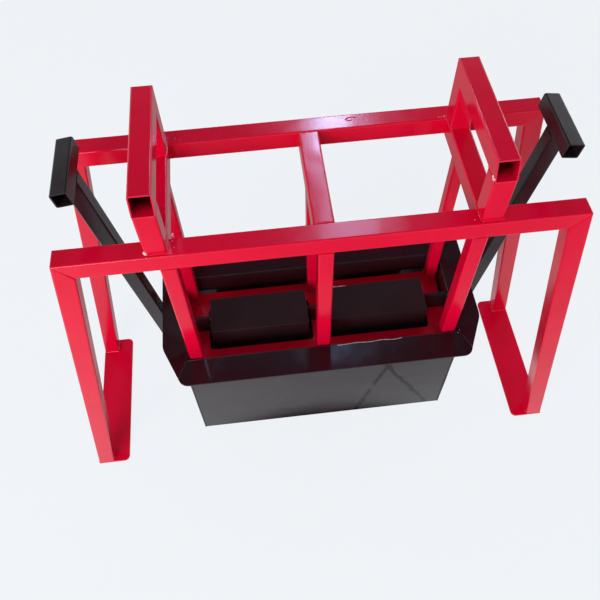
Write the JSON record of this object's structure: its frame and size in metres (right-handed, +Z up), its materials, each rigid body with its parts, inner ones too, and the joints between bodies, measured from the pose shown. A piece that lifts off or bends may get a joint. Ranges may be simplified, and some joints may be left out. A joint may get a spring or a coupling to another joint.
{
  "type": "hand block machine",
  "caption": "Hand machine for hollow concrete blocks: splayed tube stand with a hanging pressing plate inside a lifting mould with cores, hopper flaps and T handles.",
  "frame": {"origin": "on the floor, in the middle of the object's outer box", "axes": "+X to the machine's right seen from the front, +Y towards the back, +Z up"},
  "size_m": [0.793, 0.2672, 0.629],
  "materials": {
    "red_enamel": "gloss red enamel over welded steel",
    "black_enamel": "gloss black enamel over steel sheet",
    "core_enamel": "satin black enamel over folded sheet"
  },
  "bodies": {
    "stand": {"front_rail": "red_enamel", "back_rail": "red_enamel", "front_left_leg": "red_enamel", "front_right_leg": "red_enamel", "back_left_leg": "red_enamel", "back_right_leg": "red_enamel", "left_foot_plate": "red_enamel", "right_foot_plate": "red_enamel", "left_cross_tube": "red_enamel", "centre_cross_tube": "red_enamel", "right_cross_tube": "red_enamel", "left_hand_bar": "red_enamel", "right_hand_bar": "red_enamel", "left_front_hand_post": "red_enamel", "right_front_hand_post": "red_enamel", "left_back_hand_post": "red_enamel", "right_back_hand_post": "red_enamel", "left_front_hanger": "red_enamel", "centre_front_hanger": "red_enamel", "right_front_hanger": "red_enamel", "left_back_hanger": "red_enamel", "centre_back_hanger": "red_enamel", "right_back_hanger": "red_enamel", "pressing_plate": "red_enamel"},
    "mould": {"front_wall": "black_enamel", "back_wall": "black_enamel", "left_end_wall": "black_enamel", "right_end_wall": "black_enamel", "front_flap": "black_enamel", "back_flap": "black_enamel", "left_flap": "black_enamel", "right_flap": "black_enamel", "left_core": "core_enamel", "right_core": "core_enamel", "core_bar": "black_enamel", "left_handle_arm": "black_enamel", "right_handle_arm": "black_enamel", "left_grip": "black_enamel", "right_grip": "black_enamel"}
  },
  "joints": [
    {"name": "mould_lift", "type": "slide", "parent": "stand", "child": "mould", "axis": [0, 0, 1], "range_m": [0, 0.19]}
  ]
}
